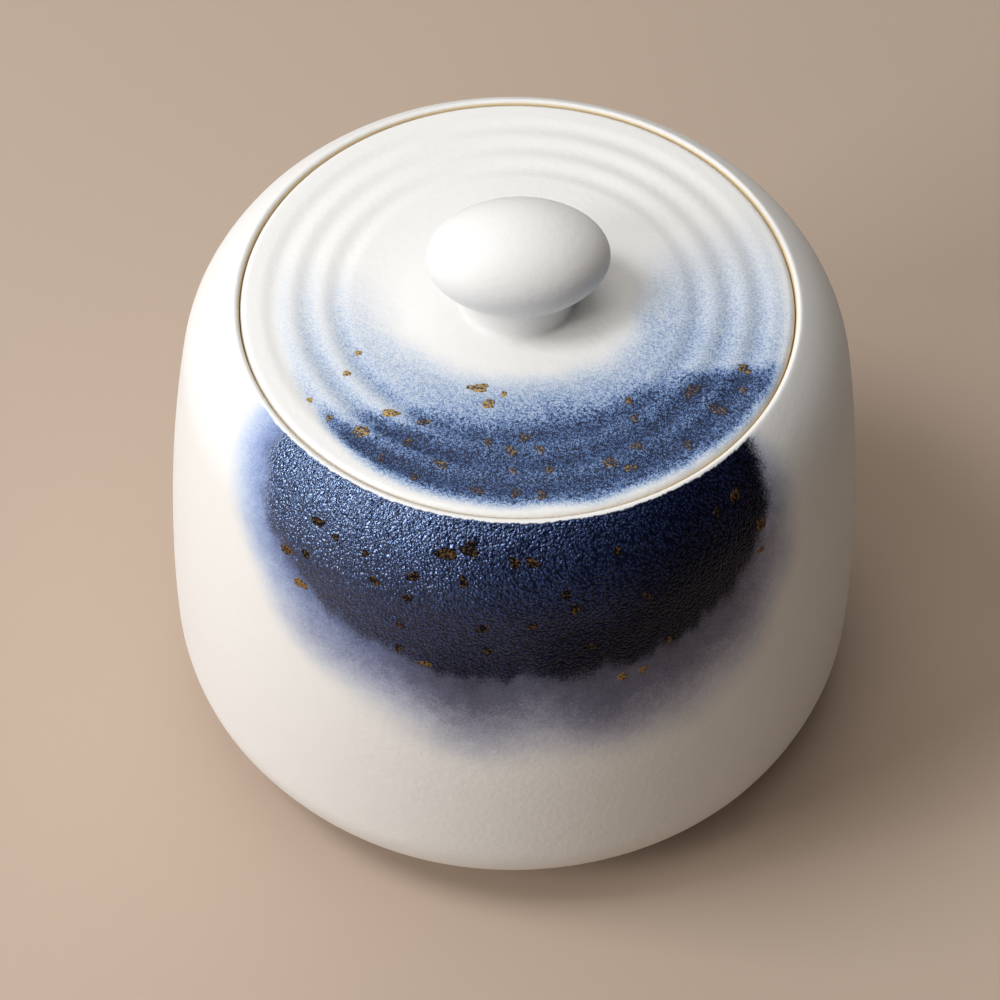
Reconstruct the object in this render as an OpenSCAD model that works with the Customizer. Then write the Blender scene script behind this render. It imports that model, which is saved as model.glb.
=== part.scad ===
// Lidded ceramic urn: a hollow cast jar with a wide, low belly, and a lift-off lid.
// The lid drops into a rebate in the rim and rests on a ledge, with its top level with the rim.
// The origin is the centre of the foot, on the surface that the urn stands on. +Z is up, in millimetres.

/* [Jar] */
// Diameter of the jar at its widest
belly_d = 150; // [120:1:200]
// Height of the jar, from the foot to the top of the rim
jar_h = 113; // [85:1:160]
// Height of the widest line, and the radius with which the wall turns under to the foot
belly_h = 22.5; // [16:0.5:30]
// Depth of the rounded shoulder below the rim
shoulder_drop = 17.5; // [13:0.5:24]
// Share of the belly's swell that the long wall leans in by, where the shoulder takes the rest
wall_lean = 0.35; // [0.2:0.01:0.5]
// Thickness of the wall, the floor and the ledge
wall = 4.5; // [3:0.1:6]
// Radius that rounds the edge of the rim
lip_r = 0.8; // [0.3:0.1:1.2]

/* [Foot] */
// Width of the ring that the jar stands on
foot_ring_w = 6; // [4:0.5:12]
// Height of the hollow inside the foot ring
foot_hollow_h = 1.5; // [0.5:0.1:3]

/* [Lid] */
// Diameter of the lid
lid_d = 111.5; // [85:0.5:134]
// Thickness of the lid's plate, and the depth of the rebate
lid_t = 5; // [3.5:0.1:7]
// Clearance between the lid's edge and the rebate
lid_gap = 0.5; // [0.4:0.1:2]
// Width of the ledge that the lid rests on
ledge_w = 5; // [3:0.5:9]
// Radius that rounds the lid's upper edge
lid_edge_r = 1.4; // [0.5:0.1:2]
// Rise of the lid's centre above its edge
crown_h = 0.8; // [0:0.1:3]
// Height of the ring under the lid that keeps it centred in the mouth
flange_h = 5; // [2:0.5:10]
// Thickness of that ring
flange_t = 4; // [3:0.1:6]
// Clearance between that ring and the mouth
flange_gap = 1; // [0.5:0.1:2]

/* [Ripples] */
// Number of concentric ripples in the lid
ripple_count = 3; // [1:1:4]
// Distance from one ripple to the next
ripple_pitch = 6.3; // [4:0.1:8]
// Depth of a ripple's groove
ripple_depth = 0.4; // [0.3:0.1:1.5]
// Distance from the lid's edge to the middle of the outermost groove
ripple_inset = 6.8; // [5.5:0.1:9]

/* [Knob] */
// Diameter of the round stem
stem_d = 23.4; // [16:0.2:30]
// Radius of the fillet where the stem meets the lid
stem_fillet = 1.2; // [0.5:0.1:2.5]
// Thickness of the knob, from its underside to its top
knob_t = 19.5; // [12:0.5:26]
// How far each end of the oval knob reaches past the stem
knob_end_reach = 6.6; // [3:0.1:12]
// How far each side of the oval knob reaches past the stem
knob_side_reach = 1.8; // [1:0.1:8]
// Height of the knob's lowest point above the lid
knob_lift = 1.6; // [1:0.1:10]
// Angle that the knob's long axis is turned by from the X axis, as it was set by hand
knob_turn = 4; // [-15:1:15]

/* [Hidden] */
glaze_white = [0.93, 0.92, 0.90];
axis_overlap = 0.5;              // how far the stem carries on above the knob's middle
belly_r = belly_d / 2;
lid_r = lid_d / 2;
rebate_r = lid_r + lid_gap;
mouth_r = rebate_r - ledge_w;
ledge_z = jar_h - lid_t;
floor_z = foot_hollow_h + wall;
foot_r = belly_r - belly_h;

// The rim's rounded edge, as a circle in the section
lip_x = rebate_r + lip_r;
lip_z = jar_h - lip_r;

// The long wall is one arc, upright at the belly, that ends at the top of the wall
wall_top_x = belly_r - wall_lean * (belly_r - lip_x);
wall_top_z = jar_h - shoulder_drop;
wall_rise = wall_top_z - belly_h;
wall_in = belly_r - wall_top_x;
wall_turn = 2 * atan(wall_in / wall_rise);
wall_arc_r = (wall_in * wall_in + wall_rise * wall_rise) / (2 * wall_in);

// The shoulder is the arc that carries on from the wall and runs smoothly into the rim's edge
to_lip_x = lip_x - wall_top_x;
to_lip_z = lip_z - wall_top_z;
to_lip_in = -to_lip_x * cos(wall_turn) - to_lip_z * sin(wall_turn);
shoulder_r = (to_lip_x * to_lip_x + to_lip_z * to_lip_z - lip_r * lip_r) / (2 * (to_lip_in - lip_r));
shoulder_x = wall_top_x - shoulder_r * cos(wall_turn);
shoulder_z = wall_top_z - shoulder_r * sin(wall_turn);
shoulder_end = atan2(lip_z - shoulder_z, lip_x - shoulder_x);

// Inside, the same arcs run one wall thickness in, up to the underside of the ledge
ceiling_z = ledge_z - wall;
ceiling_turn = asin((ceiling_z - shoulder_z) / (shoulder_r - wall));
floor_turn = asin((belly_h - floor_z) / (belly_h - wall));

lid_flat_r = lid_r - lid_edge_r;
ripple_out_r = lid_r - ripple_inset + ripple_pitch / 2;
ripple_in_r = ripple_out_r - ripple_count * ripple_pitch;
flange_r = mouth_r - flange_gap;
stem_r = stem_d / 2;
stem_foot_r = stem_r + stem_fillet;
knob_z = lid_top(0) + knob_lift + knob_t / 2;

arc_step = 4;                    // degrees in one step of a small arc
wall_steps = 12;                 // steps in the long wall
ripple_steps = 14;               // steps in one ripple
plain_steps = 6;                 // steps in the lid's plain middle

// Points along an arc in the section, from angle a0 to angle a1, in the given number of steps
function arc(x, z, r, a0, a1, steps) =
    [for (i = [0:steps]) let (a = a0 + (a1 - a0) * i / steps) [x + r * cos(a), z + r * sin(a)]];
function steps_for(a0, a1) = max(2, ceil(abs(a1 - a0) / arc_step));

// Depth of the ripples at a radius: raised cosines, one after another, and level outside them
function ripple_dip(r) =
    (r < ripple_in_r || r > ripple_out_r) ? 0
    : ripple_depth * (1 - cos(360 * (ripple_out_r - r) / ripple_pitch)) / 2;

// Height of the lid's top at a radius: a shallow crown less the ripples
function lid_top(r) = jar_h + crown_h * (1 - pow(r / lid_flat_r, 2)) - ripple_dip(r);

// Points along the lid's top from one radius to another
function lid_top_line(r0, r1, steps) =
    [for (i = [0:steps]) let (r = r0 + (r1 - r0) * i / steps) [r, lid_top(r)]];

// Hollow jar, turned from one section: foot, outside, rim, rebate, ledge, and back down the inside
module jar() {
    outside = concat(
        [[0, foot_hollow_h], [foot_r - foot_ring_w, foot_hollow_h], [foot_r - foot_ring_w, 0]],
        arc(foot_r, belly_h, belly_h, -90, 0, steps_for(-90, 0)),
        arc(belly_r - wall_arc_r, belly_h, wall_arc_r, 0, wall_turn, wall_steps),
        arc(shoulder_x, shoulder_z, shoulder_r, wall_turn, shoulder_end, steps_for(wall_turn, shoulder_end)),
        arc(lip_x, lip_z, lip_r, shoulder_end, 180, 8));
    ledge = [[rebate_r, ledge_z], [mouth_r, ledge_z], [mouth_r, ceiling_z]];
    inside = concat(
        arc(shoulder_x, shoulder_z, shoulder_r - wall, ceiling_turn, wall_turn,
            steps_for(ceiling_turn, wall_turn)),
        arc(belly_r - wall_arc_r, belly_h, wall_arc_r - wall, wall_turn, 0, wall_steps),
        arc(foot_r, belly_h, belly_h - wall, 0, -floor_turn, steps_for(0, floor_turn)),
        [[0, floor_z]]);
    color(glaze_white)
        rotate_extrude($fn = 180)
            polygon(tidy(concat(outside, ledge, inside)));
}

// Lid, cast in one with its stem and its oval knob
module lid() {
    top = concat(
        [[0, knob_z + axis_overlap], [stem_r, knob_z + axis_overlap]],
        arc(stem_foot_r, lid_top(stem_foot_r) + stem_fillet, stem_fillet, 180, 270, 6),
        lid_top_line(stem_foot_r, ripple_in_r, plain_steps),
        lid_top_line(ripple_in_r, ripple_out_r, ripple_count * ripple_steps),
        arc(lid_flat_r, jar_h - lid_edge_r, lid_edge_r, 90, 0, 8));
    underside = [
        [lid_r, ledge_z], [flange_r, ledge_z], [flange_r, ledge_z - flange_h],
        [flange_r - flange_t, ledge_z - flange_h], [flange_r - flange_t, ledge_z], [0, ledge_z]];
    color(glaze_white)
        union() {
            rotate_extrude($fn = 180)
                polygon(tidy(concat(top, underside)));
            translate([0, 0, knob_z])
                rotate([0, 0, knob_turn])
                    scale([stem_r + knob_end_reach, stem_r + knob_side_reach, knob_t / 2])
                        sphere(r = 1, $fn = 56);
        }
}

// A section without points that repeat the one before them
function tidy(points) = [
    for (i = [0:len(points) - 1]) if (i == 0 || norm(points[i] - points[i - 1]) > 0.001) points[i]];

jar();
lid();
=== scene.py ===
"""Visual model of a lidded stoneware urn: satin white glaze, a sprayed cobalt patch and gold
flecks, on a plain floor in soft window light."""

import bpy
import numpy as np
from mathutils import Matrix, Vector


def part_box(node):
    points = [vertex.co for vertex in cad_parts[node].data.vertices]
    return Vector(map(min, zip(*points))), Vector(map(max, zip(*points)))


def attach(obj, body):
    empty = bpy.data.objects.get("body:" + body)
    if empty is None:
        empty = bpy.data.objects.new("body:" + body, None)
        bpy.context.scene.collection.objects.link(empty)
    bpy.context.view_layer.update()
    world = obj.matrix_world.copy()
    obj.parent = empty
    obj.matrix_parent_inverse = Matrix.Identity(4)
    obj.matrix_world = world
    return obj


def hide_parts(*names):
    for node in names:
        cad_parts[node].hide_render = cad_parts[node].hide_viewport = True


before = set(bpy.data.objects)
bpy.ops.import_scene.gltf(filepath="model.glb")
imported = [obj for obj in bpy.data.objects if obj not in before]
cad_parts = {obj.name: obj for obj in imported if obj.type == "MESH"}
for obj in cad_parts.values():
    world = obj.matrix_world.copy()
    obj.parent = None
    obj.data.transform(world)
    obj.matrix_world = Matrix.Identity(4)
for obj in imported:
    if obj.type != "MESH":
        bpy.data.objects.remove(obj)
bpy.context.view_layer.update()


# ---------------------------------------------------------------------------------------------
# The jar. Stoneware slip-cast hollow in a plaster mould, with one wall thickness and a rebate in
# its rim for the lid. Satin white glaze covers it inside and out, cobalt is sprayed on the front
# of the shoulder, thinly and then thickly, and the foot ring and the rebate are wiped bare.
# ---------------------------------------------------------------------------------------------
MM = 0.001

jar_low, jar_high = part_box("jar")
lid_low, lid_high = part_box("lid")
skin = 0.03                                   # how far the glaze stays inside the cast size
belly_r = (jar_high[0] - jar_low[0]) / 2 / MM - skin
rim_z = jar_high[2] / MM - skin
belly_z = 22.5                                # height of the widest line
wall = 4.5                                    # thickness of the wall and the floor
ledge_z = rim_z - 5.0                         # the ledge that carries the lid
rebate_r = (lid_high[0] - lid_low[0]) / 2 / MM + 0.5   # the rebate round the lid
mouth_r = rebate_r - 5.0                      # the mouth inside the ledge
lip_r = 0.8                                   # the rounded edge of the rim
glaze_roll = 0.15                             # glaze that hangs over the rim's inner edge
foot_r = belly_r - belly_z                    # outer edge of the foot ring
foot_ring = 6.0                               # width of the foot ring
foot_hollow = 1.5                             # depth of the hollow inside the foot ring
shoulder_drop = 17.5                          # depth of the rounded shoulder below the rim
wall_lean = 0.35                              # share of the swell that the long wall leans in by


def arc(x, z, radius, start, end, steps=24, squash=1.0):
    """Points on a circle about (x, z), at even angles from start to end in degrees. squash widens
    or narrows it along x."""
    angle = np.radians(np.linspace(start, end, steps + 1))
    return np.stack([x + radius * squash * np.cos(angle), z + radius * np.sin(angle)], axis=-1)


def eased(corners, radii, steps=8):
    """A line through the corners, each corner replaced by the parabola that is tangent to both of
    its sides at the given distance from it."""
    corners = np.asarray(corners, dtype=float)
    points = [corners[:1]]
    u = np.linspace(0, 1, steps + 1)[:, None]
    for before, corner, after, radius in zip(corners, corners[1:], corners[2:], radii):
        start = corner + (before - corner) / np.linalg.norm(before - corner) * radius
        end = corner + (after - corner) / np.linalg.norm(after - corner) * radius
        points.append((1 - u) ** 2 * start + 2 * u * (1 - u) * corner + u ** 2 * end)
    points.append(corners[-1:])
    return np.concatenate(points)


def ruled(profile, gap, turn):
    """The same profile with its points spread evenly in length divided by gap plus bend divided by
    turn degrees, so that they lie closer where it bends. gap may differ from point to point."""
    keep = np.r_[True, np.linalg.norm(np.diff(profile, axis=0), axis=1) > 1e-6]
    gap = np.broadcast_to(gap, keep.shape)[keep]
    profile = profile[keep]
    step = np.diff(profile, axis=0)
    heading = np.unwrap(np.arctan2(step[:, 1], step[:, 0]))
    bend = np.r_[0, np.abs(np.diff(heading)), 0] / np.radians(turn)
    measure = np.linalg.norm(step, axis=1) / ((gap[1:] + gap[:-1]) / 2) + (bend[1:] + bend[:-1]) / 2
    along = np.r_[0, np.cumsum(measure)]
    even = np.linspace(0, along[-1], int(np.ceil(along[-1])) + 1)
    return np.stack([np.interp(even, along, profile[:, axis]) for axis in (0, 1)], axis=-1)


def drift(x, y, z, size, seed):
    """A smooth wandering value of about -1 to 1: the sum of ten sine waves of about the given
    wavelength, in directions and at phases drawn from the seed."""
    draw = np.random.default_rng(seed)
    heading = draw.normal(size=(10, 3))
    heading /= np.linalg.norm(heading, axis=1)[:, None]
    waves = 2 * np.pi / (size * draw.uniform(0.7, 1.5, 10))
    phases = draw.uniform(0, 2 * np.pi, 10)
    total = np.zeros(np.shape(x))
    for (hx, hy, hz), wave, phase in zip(heading, waves, phases):
        total += np.sin((x * hx + y * hy + z * hz) * wave + phase)
    return total / 4


def smooth(value, low, high):
    """0 below low, 1 above high and an eased step between them. low may be the larger one."""
    t = np.clip((value - low) / (high - low), 0, 1)
    return t * t * (3 - 2 * t)


def outward(grid):
    """Unit normals of a grid whose rows run along a profile and whose columns run round the axis:
    the cross product of the two directions of the grid."""
    round_axis = np.roll(grid, -1, axis=1) - np.roll(grid, 1, axis=1)
    normal = np.cross(round_axis, np.gradient(grid, axis=0))
    return normal / np.maximum(np.linalg.norm(normal, axis=-1, keepdims=True), 1e-9)


def closed_piece(name, grids, layers):
    """A mesh object of one or more closed shells, each a grid of rings in millimetres. The first
    and last ring of a shell are one point each. layers are values for each grid point."""
    shells, rows, columns = grids.shape[:3]
    number = 1 + np.arange((rows - 2) * columns).reshape(rows - 2, columns)
    beside = np.roll(number, -1, axis=1)
    last = (rows - 2) * columns + 1
    start = np.stack([np.zeros(columns, int), beside[0], number[0]], axis=-1)
    end = np.stack([np.full(columns, last), number[-1], beside[-1]], axis=-1)
    quads = np.stack([number[:-1], beside[:-1], beside[1:], number[1:]], axis=-1)
    one_shell = np.concatenate([start.ravel(), end.ravel(), quads.ravel()])
    corners = (np.arange(shells)[:, None] * (last + 1) + one_shell).ravel()
    sizes = np.tile(np.r_[np.full(2 * columns, 3), np.full((rows - 3) * columns, 4)], shells)

    def in_order(values):
        ends = values[:, [0, -1]].mean(axis=2)
        middle = values[:, 1:-1].reshape(shells, -1, values.shape[-1])
        return np.concatenate([ends[:, :1], middle, ends[:, 1:]], axis=1).ravel().astype(np.float32)

    mesh = bpy.data.meshes.new(name)
    mesh.vertices.add(shells * (last + 1))
    mesh.vertices.foreach_set("co", in_order(grids * MM))
    mesh.loops.add(len(corners))
    mesh.loops.foreach_set("vertex_index", corners.astype(np.int32))
    mesh.polygons.add(len(sizes))
    mesh.polygons.foreach_set("loop_start", np.r_[0, np.cumsum(sizes)[:-1]].astype(np.int32))
    mesh.update(calc_edges=True)
    mesh.shade_smooth()
    for layer, values in layers.items():
        at_points = mesh.attributes.new(layer, "FLOAT", "POINT")
        at_points.data.foreach_set("value", in_order(values[..., None]))
    piece = bpy.data.objects.new(name, mesh)
    bpy.context.collection.objects.link(piece)
    return piece


# The outside is three arcs that run into each other: under the belly, up the long wall, and over
# the shoulder into the rounded rim. The inside repeats them one wall thickness in.
lip_x, lip_z = rebate_r + lip_r, rim_z - lip_r
top_x = belly_r - wall_lean * (belly_r - lip_x)
top_z = rim_z - shoulder_drop
rise, inset = top_z - belly_z, belly_r - top_x
turn = 2 * np.degrees(np.arctan(inset / rise))
wall_r = (inset ** 2 + rise ** 2) / (2 * inset)
inward = np.array([-np.cos(np.radians(turn)), -np.sin(np.radians(turn))])
to_lip = np.array([lip_x - top_x, lip_z - top_z])
shoulder_r = (to_lip @ to_lip - lip_r ** 2) / (2 * (to_lip @ inward - lip_r))
shoulder_x, shoulder_z = np.array([top_x, top_z]) + shoulder_r * inward
shoulder_end = np.degrees(np.arctan2(lip_z - shoulder_z, lip_x - shoulder_x))
ceiling_z = ledge_z - wall
ceiling_turn = np.degrees(np.arcsin((ceiling_z - shoulder_z) / (shoulder_r - wall)))
ceiling_x = shoulder_x + (shoulder_r - wall) * np.cos(np.radians(ceiling_turn))
floor_z = foot_hollow + wall
floor_turn = np.degrees(np.arcsin((belly_z - floor_z) / (belly_z - wall)))
floor_x = foot_r + (belly_z - wall) * np.cos(np.radians(floor_turn))
foot_in = foot_r - foot_ring

underside = eased([(0, foot_hollow), (foot_in, foot_hollow), (foot_in, 0), (foot_r, 0)], [1.0, 0.5])
outside = np.concatenate([
    arc(foot_r, belly_z, belly_z, -90, 0, 40),
    arc(belly_r - wall_r, belly_z, wall_r, 0, turn, 120),
    arc(shoulder_x, shoulder_z, shoulder_r, turn, shoulder_end, 80),
    arc(lip_x, lip_z, lip_r, shoulder_end, 90, 10)])
roll_r = rebate_r - glaze_roll
rebate = np.concatenate([
    arc(lip_x, lip_z, lip_r, 90, 180, 12, squash=1 + glaze_roll / lip_r),
    eased([(roll_r, lip_z), (roll_r - 0.3, ledge_z), (mouth_r, ledge_z), (mouth_r, ceiling_z),
           (ceiling_x - 2, ceiling_z)], [0.2, 0.7, 1.2])])
inside = np.concatenate([
    arc(shoulder_x, shoulder_z, shoulder_r - wall, ceiling_turn, turn, 40)[2:],
    arc(belly_r - wall_r, belly_z, wall_r - wall, turn, 0, 60),
    arc(foot_r, belly_z, belly_z - wall, 0, -floor_turn, 30)[:-2],
    [(floor_x - 4, floor_z), (0, floor_z)]])

outline = np.concatenate([underside, outside, rebate, inside])
on_outside = np.zeros(len(outline), bool)
on_outside[len(underside):len(underside) + len(outside)] = True
outer_gap, inner_gap, ring_bend = 1.25, 4.5, 11   # millimetres and degrees between rings
profile = ruled(outline, np.where(on_outside, outer_gap, inner_gap), ring_bend)

jar_columns = 420                             # points round each ring
angle = np.linspace(0, 2 * np.pi, jar_columns, endpoint=False)
jar_grid = np.stack([
    profile[:, :1] * np.cos(angle), profile[:, :1] * np.sin(angle),
    np.repeat(profile[:, 1:], jar_columns, axis=1)], axis=-1)

# Distance down the outside from the top of the rim, negative past it and inside
length = np.r_[0, np.cumsum(np.linalg.norm(np.diff(profile, axis=0), axis=1))]
rim_row = int(np.argmax(profile[:, 1]))
down = np.repeat((length[rim_row] - length)[:, None], jar_columns, axis=1)
bearing = np.repeat(np.degrees(angle)[None], len(profile), axis=0)


def hanging(bearing, down, middle, left, right, depth, bend_left, bend_right, bend_down):
    """How far a point lies inside a half oval that hangs from the rim: one less the powers of its
    two distances from the middle, each over the oval's reach that way. Its two sides differ."""
    on_left = bearing < middle
    across = np.abs(bearing - middle) / np.where(on_left, left, right)
    across = across ** np.where(on_left, bend_left, bend_right)
    return 1 - across - (np.clip(down, 0, None) / depth) ** bend_down


# The gun was swung from left to right: the thin mist reaches further down than the thick coat,
# and the thick coat has begun to run in short drips along its lower edge
x, y, z = np.moveaxis(jar_grid, -1, 0)
cloud = drift(x, y, z, 22, 3)
drips = 0.8 * drift(x, y, 0 * z, 9, 7) + 0.9 * drift(x, y, 0 * z, 3.6, 8)
mist_left, mist_right, mist_depth = 61.5, 60, 65.5        # degrees, degrees, millimetres
coat_side, coat_depth = 51.5, 37
mist_middle = 266 + 0.17 * down
mist_in = hanging(bearing, down, mist_middle, mist_left, mist_right, mist_depth, 2.2, 3.1, 1.5)
mist_in = mist_in + 0.04 * cloud
run_down = down + drips * smooth(down, 16, 30)
coat_in = hanging(bearing, run_down, 270, coat_side, coat_side, coat_depth, 2.2, 3.0, 1.7)
coat_in = coat_in + 0.03 * drift(x, y, z, 9, 4)
jar_mist = smooth(mist_in, -0.05, 0.68)
jar_coat = smooth(coat_in, -0.16, 0.16)
# Painted shade: this mask darkens the blue and weakens its reflections towards the right, away from
# the window, and lower down, where part of the darkening is the real deeper indigo of the thick
# coat.
jar_darkening_and_shade = np.clip((bearing - 225) / 100 + down / 84 + 0.05 * cloud, 0, 1)
near_rim = np.clip(down, -3, 6) / 6
jar_bare = np.maximum(
    smooth(z, 0.9, 0.3) * smooth(down, 60, 70),
    smooth(-down, 0.55, 1.1) * smooth(z, ledge_z - 1.5, ledge_z - 0.7))

# The thick blue stands a little proud, and the cast wall is a hair out of round
waver = -0.12 * (0.5 + 0.5 * drift(x, y, z, 45, 5)) * (down > 0) * smooth(z, 0.0, 12.0)
proud = 0.10 * jar_coat * smooth(down, 0.8, 2.5) * (1 + 0.5 * drift(x, y, z, 5, 6))
jar_grid = jar_grid + outward(jar_grid) * (waver + proud)[..., None]

jar = closed_piece("jar_glazed", jar_grid[None], {
    "mist": jar_mist[None], "coat": jar_coat[None], "darkening_and_shade": jar_darkening_and_shade[None],
    "near_rim": near_rim[None], "bare_clay": jar_bare[None]})


def node(tree, kind, inputs=None, **settings):
    """One node with its settings. An input is a plain value or the socket that feeds it."""
    made = tree.nodes.new(kind)
    for key, value in settings.items():
        setattr(made, key, value)
    for key, value in (inputs or {}).items():
        if isinstance(value, bpy.types.NodeSocket):
            tree.links.new(value, made.inputs[key])
        else:
            made.inputs[key].default_value = value
    return made


def grain(tree, where, size, detail=2.0, rough=0.5):
    """Noise whose blotches are about the given size in metres, from 0 to 1."""
    return node(tree, "ShaderNodeTexNoise", {
        "Vector": where, "Scale": 1 / size, "Detail": detail, "Roughness": rough}).outputs["Fac"]


def eased_range(tree, value, low, high, to_low=0.0, to_high=1.0):
    """The value, eased from low to high into the range from to_low to to_high."""
    return node(tree, "ShaderNodeMapRange", {
        "Value": value, "From Min": low, "From Max": high, "To Min": to_low, "To Max": to_high},
        interpolation_type="SMOOTHSTEP").outputs["Result"]


def sums(tree, operation, *values):
    """The result of a Math node."""
    return node(tree, "ShaderNodeMath", dict(enumerate(values)), operation=operation).outputs[0]


def tint(tree, amount, first, second):
    """A colour between first and second."""
    ends = [c if isinstance(c, bpy.types.NodeSocket) else (*c, 1.0) for c in (first, second)]
    inputs = {0: amount, 6: ends[0], 7: ends[1]}
    return node(tree, "ShaderNodeMix", inputs, data_type="RGBA").outputs[2]


def pigment(tree, amount, stops):
    """The colour of a layer by how much pigment lies in it. stops are (amount, colour) pairs."""
    ramp = node(tree, "ShaderNodeValToRGB", {0: amount})
    marks = ramp.color_ramp.elements
    while len(marks) < len(stops):
        marks.new(0.5)
    for mark, (place, colour) in zip(marks, stops):
        mark.position, mark.color = place, (*colour, 1.0)
    return ramp.outputs[0]


def layer(tree, name):
    """A value that the mesh carries at its points."""
    return node(tree, "ShaderNodeAttribute", attribute_name=name).outputs["Fac"]


def new_finish(name):
    """An empty material with its shader, and the object's own coordinates."""
    finish = bpy.data.materials.new(name)
    finish.use_nodes = True
    tree = finish.node_tree
    tree.nodes.clear()
    shader = node(tree, "ShaderNodeBsdfPrincipled")
    node(tree, "ShaderNodeOutputMaterial", {"Surface": shader.outputs[0]})
    return finish, tree, shader, node(tree, "ShaderNodeTexCoord").outputs["Object"]


glaze_white = (0.83, 0.82, 0.80)
bare_clay = (0.72, 0.58, 0.36)


def jar_glaze():
    """Satin white with soft dimples. The sprayed mist is grainy, and the thick coat over it has
    drawn together in the kiln into glossy beads under a millimetre across, with dark hollows.
    The blue is also painted darker, with weaker reflections, towards the right and lower down:
    painted shade away from the window, partly a real deepening of the blue lower down."""
    finish, tree, shader, where = new_finish("jar_glaze")
    mist, coat, darkening_and_shade, rim, bare = (
        layer(tree, name) for name in ("mist", "coat", "darkening_and_shade", "near_rim", "bare_clay"))

    specks = grain(tree, where, 0.00045, 2.0, 0.65)
    clouds = grain(tree, where, 0.0035, 3.0, 0.6)
    edge = sums(tree, "MULTIPLY_ADD", grain(tree, where, 0.0016, 2.0, 0.6), 0.16, rim)
    wiped = eased_range(tree, edge, 0.12, 0.19)
    ragged = sums(tree, "ADD", sums(tree, "MULTIPLY_ADD", specks, 1.0, -0.5),
                  sums(tree, "MULTIPLY_ADD", clouds, 0.7, -0.35))
    in_play = sums(tree, "MULTIPLY", mist, sums(tree, "SUBTRACT", 1.35, mist))
    misted = sums(tree, "MULTIPLY", sums(tree, "MULTIPLY_ADD", ragged, in_play, mist), wiped)
    coat_edge = sums(tree, "MULTIPLY_ADD", ragged, 0.8, coat)
    coated = sums(tree, "MULTIPLY", eased_range(tree, coat_edge, 0.12, 0.92),
                  eased_range(tree, coat, 0.0, 0.3))
    coated = sums(tree, "MULTIPLY", coated, wiped)

    # The beads: small rounded cells, pushed about so that no row shows
    pushes_per_metre, beads_per_metre, pushed = 900.0, 1750.0, 0.0008
    push = node(tree, "ShaderNodeTexNoise", {
        "Vector": where, "Scale": pushes_per_metre, "Detail": 1.0})
    shifted = node(tree, "ShaderNodeVectorMath", {
        0: push.outputs["Color"], 1: (pushed, pushed, pushed), 2: where},
        operation="MULTIPLY_ADD")
    beads = node(tree, "ShaderNodeTexVoronoi", {
        "Vector": shifted.outputs[0], "Scale": beads_per_metre, "Smoothness": 0.25},
        feature="SMOOTH_F1").outputs["Distance"]
    hollows = eased_range(tree, beads, 0.14, 0.55)

    blue_mist = pigment(tree, misted, [
        (0.0, glaze_white), (0.22, (0.52, 0.60, 0.75)), (0.45, (0.30, 0.385, 0.61)),
        (0.72, (0.120, 0.175, 0.36)), (1.0, (0.045, 0.075, 0.18))])
    grey_mist = pigment(tree, misted, [
        (0.0, glaze_white), (0.22, (0.54, 0.56, 0.63)), (0.45, (0.315, 0.325, 0.42)),
        (0.72, (0.125, 0.130, 0.20)), (1.0, (0.045, 0.048, 0.085))])
    # Painted shade: towards the right and lower down the mist turns greyer and the beads darker, by
    # the mask above; lower down this is partly the real deeper indigo.
    colour = tint(tree, eased_range(tree, darkening_and_shade, 0.15, 1.0), blue_mist, grey_mist)
    tops = tint(tree, darkening_and_shade, (0.038, 0.092, 0.280), (0.009, 0.010, 0.038))
    pits = tint(tree, darkening_and_shade, (0.004, 0.010, 0.045), (0.002, 0.002, 0.005))
    colour = tint(tree, coated, colour, tint(tree, hollows, tops, pits))
    colour = tint(tree, bare, colour, bare_clay)
    tree.links.new(colour, shader.inputs["Base Color"])

    gloss = sums(tree, "MULTIPLY_ADD", coated, -0.36, 0.52)
    gloss = sums(tree, "MULTIPLY_ADD", bare, 0.35, gloss)
    tree.links.new(gloss, shader.inputs["Roughness"])
    # The coat's shine and reflection colour follow the same mask: strong at the upper left, where
    # the window's reflection falls, and faded towards the right and lower down, which is painted
    # shade in the reflections.
    coat_darkening_and_shade = sums(tree, "MULTIPLY", coated, darkening_and_shade)
    shine = eased_range(tree, darkening_and_shade, 0.20, 0.95, 1.8, 0.10)
    shine = sums(tree, "MULTIPLY_ADD", sums(tree, "SUBTRACT", shine, 0.38), coated, 0.38)
    tree.links.new(shine, shader.inputs["Specular IOR Level"])
    sheen = tint(tree, darkening_and_shade, (0.54, 0.72, 1.0), (0.30, 0.40, 0.90))
    sheen = tint(tree, coated, (1.0, 1.0, 1.0), sheen)
    tree.links.new(sheen, shader.inputs["Specular Tint"])

    dimples = grain(tree, where, 0.0013, 2.0, 0.5)
    swell = grain(tree, where, 0.006, 1.0, 0.5)
    plain = sums(tree, "MULTIPLY_ADD", swell, 1.3, dimples)
    swollen = sums(tree, "MULTIPLY", beads, sums(tree, "MULTIPLY_ADD", coat_darkening_and_shade, 0.6, coated))
    height = sums(tree, "MULTIPLY_ADD", swollen, -2.8, plain)
    bump = node(tree, "ShaderNodeBump", {"Height": height, "Strength": 1.0, "Distance": 0.00007})
    tree.links.new(bump.outputs[0], shader.inputs["Normal"])
    return finish


jar.data.materials.append(jar_glaze())
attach(jar, "root")
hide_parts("jar")


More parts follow.
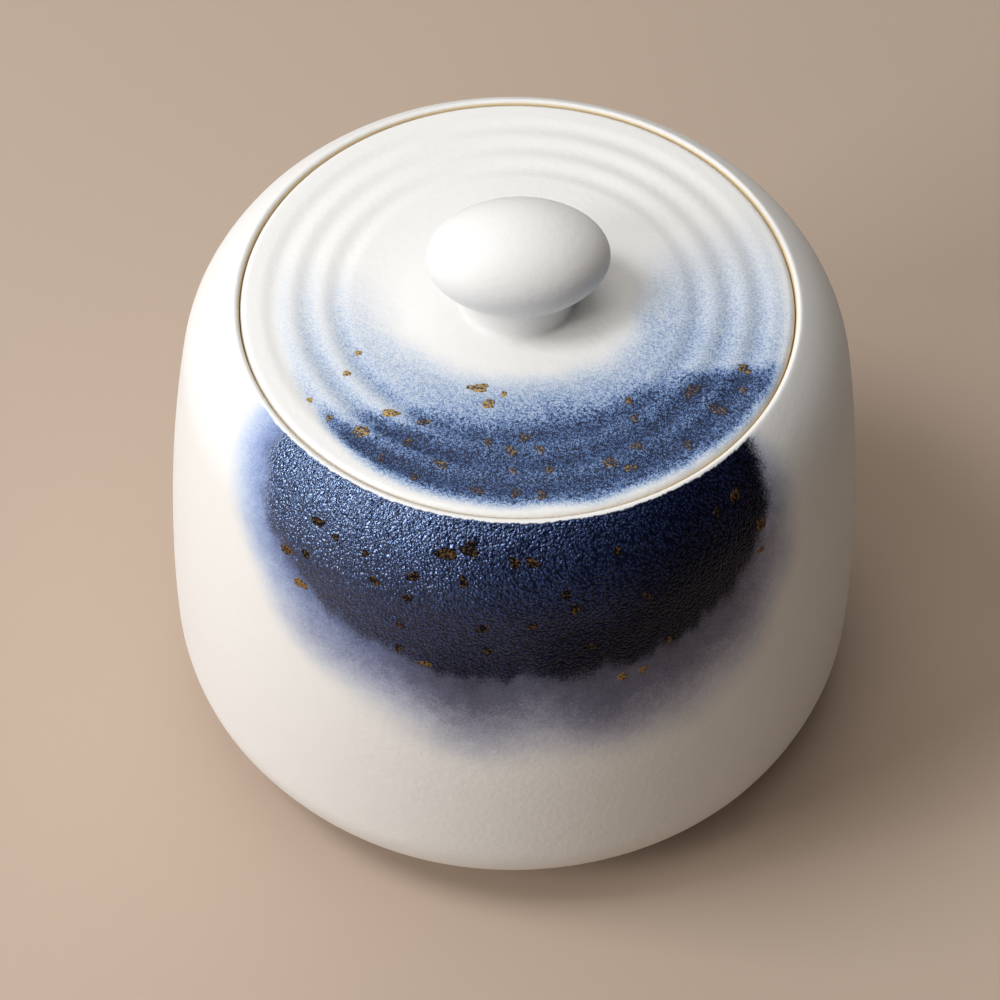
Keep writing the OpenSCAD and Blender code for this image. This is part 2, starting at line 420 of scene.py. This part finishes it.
# ---------------------------------------------------------------------------------------------
# The lid. It is cast in one with its round stem and its oval knob, and drops into the rebate
# until its edge is level with the rim. Three soft ripples run round it. Blue is sprayed in an arc
# across its front and pools in the ripples' hollows, and the edge is wiped clean of it.
# ---------------------------------------------------------------------------------------------
lid_r = rebate_r - 0.38                       # with its glaze
lid_edge = 1.4                                # rounded upper edge
crown = 0.8                                   # rise of the middle above the edge
ripples, pitch, ripple_depth = 3, 6.3, 0.4
first_groove = 48.95                          # radius of the outermost hollow
stem_r, stem_fillet = 11.7, 1.2
knob_long, knob_wide = stem_r + 6.6, stem_r + 1.8
knob_half = 9.75                              # half of the knob's thickness
knob_top = lid_high[2] / MM - skin
knob_z = knob_top - knob_half
knob_turn = 4.0                               # the knob was set slightly askew
flange_r, flange_wall, flange_drop = mouth_r - 1.0, 4.0, 5.0


def hollow(r):
    """Depth of the ripples at a radius: three raised cosines side by side, level elsewhere."""
    start = first_groove + pitch / 2
    within = (r < start) & (r > start - ripples * pitch)
    return np.where(within, (1 - np.cos(2 * np.pi * (start - r) / pitch)) / 2, 0.0)


def lid_top(r):
    """Height of the lid's top at a radius: a shallow crown less the ripples."""
    return rim_z + crown * (1 - (r / (lid_r - lid_edge)) ** 2) - ripple_depth * hollow(r)


flat_r = lid_r - lid_edge
stem_foot = stem_r + stem_fillet
across_top = np.linspace(flat_r, stem_foot, 260)
plate = np.concatenate([
    eased([(0, ledge_z), (flange_r - flange_wall, ledge_z),
           (flange_r - flange_wall, ledge_z - flange_drop), (flange_r, ledge_z - flange_drop),
           (flange_r, ledge_z), (lid_r, ledge_z), (lid_r, rim_z - lid_edge)],
          [1.2, 1.2, 1.2, 0.6, 0.7]),
    arc(flat_r, rim_z - lid_edge, lid_edge, 0, 90, 14)[1:],
    np.stack([across_top, lid_top(across_top)], axis=-1)[1:],
    arc(stem_foot, lid_top(stem_foot) + stem_fillet, stem_fillet, 270, 180, 10)[1:]])
on_top = (plate[:, 1] > rim_z - lid_edge) & (plate[:, 0] > 8)
plate = ruled(plate, np.where(on_top, 0.5, 3.0), 12)

# Round the stem and over the knob each ring follows the oval: a ring's reach is a share of the
# oval's own reach in that direction, and its height comes from the ellipsoid
lid_columns = 384
angle = np.linspace(0, 2 * np.pi, lid_columns, endpoint=False)
askew = angle - np.radians(knob_turn)
oval = 1 / np.sqrt((np.cos(askew) / knob_long) ** 2 + (np.sin(askew) / knob_wide) ** 2)
stem_share = stem_r / oval
stem_top = knob_z - knob_half * np.sqrt(1 - stem_share ** 2)
stem_base = plate[-1, 1]
climb = np.linspace(0, 1, 9)[1:, None]
under = np.linspace(0, 1, 22)[1:, None]
over = np.linspace(0, 1, 44)[1:, None]
under_turn = np.arcsin(stem_share) * (1 - under) + (np.pi / 2) * under
over_turn = (np.pi / 2) * (1 - over)
ring_reach = np.concatenate([
    np.repeat(plate[:, :1], lid_columns, axis=1),
    np.full((len(climb), lid_columns), stem_r),
    np.sin(under_turn) * oval,
    np.sin(over_turn) * oval])
ring_height = np.concatenate([
    np.repeat(plate[:, 1:], lid_columns, axis=1),
    stem_base + climb * (stem_top - stem_base),
    knob_z - knob_half * np.cos(under_turn),
    np.repeat(knob_z + knob_half * np.cos(over_turn), lid_columns, axis=1)])

# Glaze fills the crease where the stem meets the knob, so the rings there are drawn together
crease = len(plate) + len(climb)
for _ in range(10):
    for rings in (ring_reach, ring_height):
        rings[crease - 5:crease + 5] = (
            rings[crease - 6:crease + 4] + 2 * rings[crease - 5:crease + 5]
            + rings[crease - 4:crease + 6]) / 4

lid_grid = np.stack([ring_reach * np.cos(angle), ring_reach * np.sin(angle), ring_height], axis=-1)
x, y, z = np.moveaxis(lid_grid, -1, 0)
radius = np.hypot(x, y)
bearing = np.degrees(np.arctan2(y, x)) % 360
bearing = np.where(bearing < 90, bearing + 360, bearing)
is_top = (z > rim_z - lid_edge) & (np.arange(len(lid_grid))[:, None] < crease)

# The spray starts nearest the knob at the front and drifts outward to both sides: first a mist,
# then, further out, the thick coat. Here is where each of them starts, and how strong the mist
# grows, at bearings round the lid. Pigment settles in the ripples' hollows and thins on their
# crests, most of all at the left, and the fingers that wiped the edge left a soft outer line.
stops = [165, 200, 220, 240, 255, 270, 285, 300, 315, 330, 345, 360, 390]
mist_from = np.interp(bearing, stops, [27, 24, 22, 21.5, 21, 20.5, 21, 21, 22, 22.5, 22, 22, 26])
mist_full = np.interp(
    bearing, stops, [0, 0.23, 0.32, 0.42, 0.51, 0.55, 0.55, 0.48, 0.42, 0.42, 0.40, 0.28, 0])
coat_from = np.interp(bearing, stops, [66, 58, 44, 32.5, 31, 30.5, 29, 30, 31.5, 36, 55, 66, 66])
wander = 0.7 * drift(x, y, z, 17, 11) + 0.5 * drift(x, y, z, 6, 12)
thin_left = smooth(bearing, 262, 225)
pooled = hollow(radius) * smooth(radius, 32, 36) - 0.5 * smooth(radius, 34, 38)
lid_spray = mist_full * smooth(radius + wander, mist_from - 2, mist_from + 9)
lid_spray = lid_spray * (1 + pooled * (0.25 + 0.5 * thin_left))
thick = smooth(radius + wander, coat_from - 1, coat_from + 8 + 4 * thin_left)
lid_spray = lid_spray + thick * (1.0 - lid_spray) * (
    1.02 + 0.14 * smooth(radius, 37, 43) + pooled * (0.40 + 0.8 * thin_left))
wiped_at = 0.3 * wander + np.interp(
    bearing, stops, [50, 49.2, 51, 53.8, 54.2, 54.4, 54.6, 54.8, 55.4, 56, 56, 55.6, 55])
clean = smooth(radius, wiped_at + 0.7, wiped_at - 3.4)
lid_spray = np.clip(lid_spray * clean, 0, 1.2) * is_top
lid_bare = smooth(z, rim_z - 0.7, rim_z - 1.3) * smooth(radius, 40, 44)

lid = closed_piece("lid_glazed", lid_grid[None], {
    "spray": lid_spray[None], "bare_clay": lid_bare[None]})


def lid_glaze():
    """Satin white like the jar. The blue here is thin and dry: pale under fine dark specks, which
    crowd together where the coat is thicker."""
    finish, tree, shader, where = new_finish("lid_glaze")
    spray, bare = layer(tree, "spray"), layer(tree, "bare_clay")

    fine = grain(tree, where, 0.00026, 1.0, 0.5)
    coarse = grain(tree, where, 0.00055, 1.0, 0.5)
    clouds = grain(tree, where, 0.0045, 3.0, 0.55)
    speckle = sums(tree, "MULTIPLY_ADD", coarse, 0.4, sums(tree, "MULTIPLY", fine, 0.6))
    speckle = eased_range(tree, speckle, 0.38, 0.66, -0.5, 0.7)
    in_play = eased_range(tree, spray, 0.0, 0.3, 0.0, 0.08)
    in_play = sums(tree, "MULTIPLY_ADD", spray, 0.55, in_play)
    amount = sums(tree, "MULTIPLY_ADD", speckle, in_play, spray)
    cloudy = sums(tree, "MULTIPLY_ADD", clouds, 0.3, -0.15)
    amount = sums(tree, "MULTIPLY_ADD", cloudy, spray, amount)
    spatter = eased_range(tree, grain(tree, where, 0.0008, 1.0, 0.5), 0.62, 0.70, 0.0, 0.45)
    spatter = sums(tree, "MULTIPLY", spatter, eased_range(tree, spray, 0.35, 0.75))
    amount = sums(tree, "ADD", amount, spatter)
    colour = pigment(tree, sums(tree, "MULTIPLY", amount, 0.75), [
        (0.0, glaze_white), (0.19, (0.53, 0.60, 0.71)), (0.34, (0.35, 0.44, 0.60)),
        (0.47, (0.19, 0.29, 0.50)), (0.60, (0.085, 0.155, 0.34)), (0.76, (0.028, 0.062, 0.165)),
        (0.95, (0.008, 0.016, 0.050))])
    colour = tint(tree, bare, colour, bare_clay)
    tree.links.new(colour, shader.inputs["Base Color"])

    gloss = sums(tree, "MULTIPLY_ADD", eased_range(tree, amount, 0.5, 1.0), -0.10, 0.54)
    gloss = sums(tree, "MULTIPLY_ADD", bare, 0.35, gloss)
    tree.links.new(gloss, shader.inputs["Roughness"])
    shader.inputs["Specular IOR Level"].default_value = 0.38

    dimples = grain(tree, where, 0.0013, 2.0, 0.5)
    height = sums(tree, "MULTIPLY_ADD", sums(tree, "MULTIPLY", fine, amount), 1.2, dimples)
    bump = node(tree, "ShaderNodeBump", {"Height": height, "Strength": 1.0, "Distance": 0.00008})
    tree.links.new(bump.outputs[0], shader.inputs["Normal"])
    return finish


lid.data.materials.append(lid_glaze())
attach(lid, "root")
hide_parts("lid")


# ---------------------------------------------------------------------------------------------
# The gold flecks on the lid. They are torn crumbs of leaf, pressed on by hand in a loose band
# along the blue and fired with it, so they lie in the glaze and show its grain through them.
# ---------------------------------------------------------------------------------------------
def flecks(name, grid, values, places, seed):
    """Thin closed crumbs on a ringed surface. places are row, column and size in millimetres of
    each crumb, with the two scales from millimetres to rows and columns there. A crumb is a round
    lens whose outline is pulled about by waves of random phase, and it follows the surface."""
    draw = np.random.default_rng(seed)
    count, sides = len(places), 28
    share = np.array([0, 0.3, 0.55, 0.75, 0.9, 1.0, 0.8, 0.45, 0])
    lift = np.array([0.050, 0.050, 0.048, 0.042, 0.028, -0.004, -0.05, -0.06, -0.06])
    around = np.linspace(0, 2 * np.pi, sides, endpoint=False)
    edge = np.ones((count, sides))
    for waves, strength in ((2, 0.16), (3, 0.15), (5, 0.12), (8, 0.10), (12, 0.07)):
        edge += strength * draw.uniform(0.3, 1.2, (count, 1)) * np.cos(
            waves * around + draw.uniform(0, 2 * np.pi, (count, 1)))
    row, column, size, per_row, per_column = (part[:, None, None] for part in places.T)
    stretch, lean = draw.uniform(1.0, 1.35, (count, 1, 1)), draw.uniform(0, np.pi, (count, 1, 1))
    reach = size / 2 * edge[:, None, :] * share[None, :, None]
    long_way, short_way = reach * np.cos(around) * stretch, reach * np.sin(around) / stretch
    du = long_way * np.cos(lean) - short_way * np.sin(lean)
    dv = long_way * np.sin(lean) + short_way * np.cos(lean)
    rows, columns = row + dv * per_row, (column + du * per_column) % grid.shape[1]

    low_row, low_column = np.floor(rows).astype(int), np.floor(columns).astype(int)
    next_column = (low_column + 1) % grid.shape[1]
    to_row, to_column = (rows - low_row)[..., None], (columns - low_column)[..., None]

    def between(table):
        upper, lower = (
            table[row, low_column] * (1 - to_column) + table[row, next_column] * to_column
            for row in (low_row, low_row + 1))
        return upper * (1 - to_row) + lower * to_row

    shells = between(grid) + between(outward(grid)) * lift[None, :, None, None]
    thick = np.broadcast_to(between(values[..., None])[:, :1, :1, 0], rows.shape)
    worn = np.broadcast_to(draw.uniform(0, 1, (count, 1, 1)), rows.shape)
    return closed_piece(name, shells, {"thick": thick, "worn": worn})


def leaf_gold(name, bright, dull, eaten, metal, shine):
    """Gold that the glaze has eaten into: bright where it lies bare, dull where the coat is thick,
    redder in places, and broken by grain of the eaten colour."""
    finish, tree, shader, where = new_finish(name)
    thick, worn = layer(tree, "thick"), layer(tree, "worn")
    crumbs = grain(tree, where, 0.00045, 2.0, 0.6)
    breaks = sums(tree, "MULTIPLY_ADD", thick, 0.14, sums(tree, "MULTIPLY_ADD", worn, 0.05, crumbs))
    colour = tint(tree, thick, bright, dull)
    redder = tint(tree, 0.5, colour, (0.30, 0.16, 0.05))
    colour = tint(tree, grain(tree, where, 0.0007, 1.0, 0.5), colour, redder)
    colour = tint(tree, eased_range(tree, breaks, 0.56, 0.66), colour, eaten)
    tree.links.new(colour, shader.inputs["Base Color"])
    shader.inputs["Metallic"].default_value = metal
    shader.inputs["Specular IOR Level"].default_value = shine
    shader.inputs["Roughness"].default_value = 0.32
    bump = node(tree, "ShaderNodeBump", {"Height": crumbs, "Strength": 1.0, "Distance": 0.0003})
    tree.links.new(bump.outputs[0], shader.inputs["Normal"])
    return finish


# Where they lie: across and away from the knob, and their size, in millimetres
lid_crumbs = np.array([
    (-31.5, -15.5, 1.5), (-33.5, -21, 1.6), (-40.5, -27.5, 1.3), (-36.5, -32, 1.5),
    (-24.5, -31, 2.6), (-30, -35.5, 3.0), (-18, -33, 2.3), (-21, -38, 2.2), (-26, -42, 1.8),
    (-7.5, -24.5, 3.0),
    (-2.5, -26, 1.4), (-5.5, -28.5, 2.5), (1.5, -36.5, 2.2), (-5.5, -38, 2.0), (-1, -40, 2.3),
    (4.5, -39.5, 2.0), (-14.5, -43.5, 2.4), (-19.5, -46.5, 2.2), (-0.5, -45, 1.6),
    (6.5, -44.5, 1.8),
    (-7.5, -49.5, 2.6), (0, -50, 2.5), (5, -50.5, 2.6), (22, -27, 1.9), (23, -31.5, 1.9),
    (34.5, -24, 3.3), (39.5, -28.5, 3.0), (45, -18, 2.5), (44.5, -23.5, 1.8), (23.5, -38.5, 2.4),
    (18, -42.5, 2.6), (22, -43.5, 2.2), (33, -37.5, 2.4)])
crumb_r = np.hypot(lid_crumbs[:, 0], lid_crumbs[:, 1])
crumb_turn = np.arctan2(lid_crumbs[:, 1], lid_crumbs[:, 0]) % (2 * np.pi)
top_rows = np.arange(int(np.argmax(plate[:, 0] * (plate[:, 1] > rim_z - 0.2))), len(plate) - 4)
row_of = np.interp(-crumb_r, -plate[top_rows, 0], top_rows)
row_step = np.abs(plate[row_of.astype(int) + 1, 0] - plate[row_of.astype(int), 0])
lid_places = np.stack([
    row_of, crumb_turn / (2 * np.pi) * lid_columns, lid_crumbs[:, 2],
    1 / row_step, lid_columns / (2 * np.pi * crumb_r)], axis=-1)

lid_gold = flecks("lid_gold_flecks", lid_grid, lid_spray, lid_places, 21)
lid_gold.data.materials.append(leaf_gold(
    "lid_leaf_gold", (0.66, 0.46, 0.15), (0.24, 0.17, 0.07), (0.03, 0.035, 0.07), 0.4, 0.5))
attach(lid_gold, "root")


# ---------------------------------------------------------------------------------------------
# The gold flecks on the jar. The same torn leaf, scattered over the thick coat, where the cobalt
# has turned it to bronze and brown.
# ---------------------------------------------------------------------------------------------
# Where they lie: bearing in degrees, distance down from the rim and size in millimetres
jar_crumbs = np.array([
    (234, 10.5, 2.4), (238, 11.5, 1.6), (244, 12, 1.5), (229.5, 20.5, 2.6), (233.5, 18.5, 2.0),
    (233, 27, 2.9), (258, 7.5, 3.3), (262, 6, 3.3), (253, 13.5, 2.4), (261.5, 12.5, 2.2),
    (246.5, 17, 2.0), (252.5, 18.5, 2.0), (270, 8, 2.3), (273, 8, 2.4), (278.5, 15, 2.2),
    (280, 18.5, 2.2), (265, 23, 2.4), (266, 29, 1.8), (251.5, 26, 1.6), (251.5, 32.5, 1.8),
    (256, 35, 2.1), (287.5, 39.5, 2.1), (291, 39, 1.8), (292, 19, 1.7), (288, 8, 1.9),
    (308, 8.5, 2.2), (312.5, 7.5, 2.7), (315.5, 16.5, 2.7), (314.5, 22.5, 1.8), (273, 22, 1.8),
    (296, 33, 1.8), (282.5, 29, 1.8)])
outer_rows = np.arange(int(np.argmax(profile[:, 0])) // 2, rim_row)
row_of = np.interp(-jar_crumbs[:, 1], -down[outer_rows, 0], outer_rows)
row_step = np.abs(down[row_of.astype(int) + 1, 0] - down[row_of.astype(int), 0])
jar_places = np.stack([
    row_of, jar_crumbs[:, 0] / 360 * jar_columns, jar_crumbs[:, 2], 1 / row_step,
    jar_columns / (2 * np.pi * np.interp(row_of, np.arange(len(profile)), profile[:, 0]))], axis=-1)

jar_gold = flecks("jar_gold_flecks", jar_grid, jar_coat, jar_places, 22)
jar_gold.data.materials.append(leaf_gold(
    "jar_leaf_gold", (0.26, 0.15, 0.062), (0.050, 0.029, 0.012), (0.003, 0.003, 0.006), 0.0, 0.05))
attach(jar_gold, "root")


# ---------------------------------------------------------------------------------------------
# The floor, the light and the camera. Two window panes at the left give most of the light, and a
# weaker window behind, the ceiling and a soft light in front fill in. The room glows only on the
# window's side, so the shade on the right is lit by little more than the warm floor.
# ---------------------------------------------------------------------------------------------
half = 3.0                                    # half of the floor's width
floor_colour = (0.50, 0.39, 0.305, 1)
floor_mesh = bpy.data.meshes.new("floor")
floor_mesh.from_pydata(
    [(-half, -half, 0), (half, -half, 0), (half, half, 0), (-half, half, 0)], [], [(0, 1, 2, 3)])
floor = bpy.data.objects.new("floor", floor_mesh)
bpy.context.collection.objects.link(floor)
floor_finish, _, floor_shader, _ = new_finish("floor_paper")
floor_shader.inputs["Base Color"].default_value = floor_colour
floor_shader.inputs["Roughness"].default_value = 0.9
floor_mesh.materials.append(floor_finish)


aim = (0.0, 0.0, 0.07)                        # the middle of the urn
lamp_distance = 1.3
daylight, room_light = (0.965, 0.98, 1.0), (1.0, 0.96, 0.91)


def softbox(name, bearing, elevation, size, power, colour):
    """A square area light on a bearing and elevation about the urn, facing its middle."""
    lamp = bpy.data.lights.new(name, "AREA")
    lamp.shape, lamp.size, lamp.energy, lamp.color = "SQUARE", size, power, colour
    holder = bpy.data.objects.new(name, lamp)
    bpy.context.collection.objects.link(holder)
    b, e = np.radians(bearing), np.radians(elevation)
    away = np.array([np.cos(b) * np.cos(e), np.sin(b) * np.cos(e), np.sin(e)])
    side = np.array([-np.sin(b), np.cos(b), 0.0])
    up = np.cross(away, side)
    holder.matrix_world = Matrix([
        [side[i], up[i], away[i], aim[i] + away[i] * lamp_distance]
        for i in range(3)] + [[0, 0, 0, 1]])


softbox("window_high", 184, 57, 0.42, 8.1, daylight)
softbox("window_low", 206, 24, 0.45, 7.8, daylight)
softbox("window_back", 102, 50, 0.9, 3.0, (1.0, 1.0, 1.0))
softbox("ceiling", 270, 86, 0.9, 4.1, room_light)
softbox("room_front", 240, 24, 0.6, 2.0, room_light)

world = bpy.data.worlds.new("room")
bpy.context.scene.world = world
world.use_nodes = True
room = world.node_tree
room.nodes["Background"].inputs["Color"].default_value = (1.0, 0.93, 0.86, 1)
glow_bearing = np.radians(140)
window_side = (np.cos(glow_bearing), np.sin(glow_bearing), 0.0)
direction = node(room, "ShaderNodeTexCoord").outputs["Generated"]
facing = node(room, "ShaderNodeVectorMath", {0: direction, 1: window_side},
              operation="DOT_PRODUCT").outputs["Value"]
dim, glowing = 0.035, 0.26
glow = eased_range(room, facing, 0.2, 0.75, dim, glowing)
room.links.new(glow, room.nodes["Background"].inputs["Strength"])
bpy.context.scene.view_settings.view_transform = "Standard"

# The camera looks down at the urn from the front, a little off level, through a long lens
camera_tilt, camera_roll = 51.6, 0.79         # degrees below the horizon, and clockwise
camera_place = (-0.0030, -0.4070, 0.5609)
camera_data = bpy.data.cameras.new("camera")
camera_data.sensor_width, camera_data.lens = 36.0, 108.0
camera = bpy.data.objects.new("camera", camera_data)
bpy.context.collection.objects.link(camera)
camera.matrix_world = (
    Matrix.Translation(camera_place)
    @ Matrix.Rotation(np.radians(90 - camera_tilt), 4, "X")
    @ Matrix.Rotation(np.radians(camera_roll), 4, "Z"))
bpy.context.scene.camera = camera

bpy.context.view_layer.update()
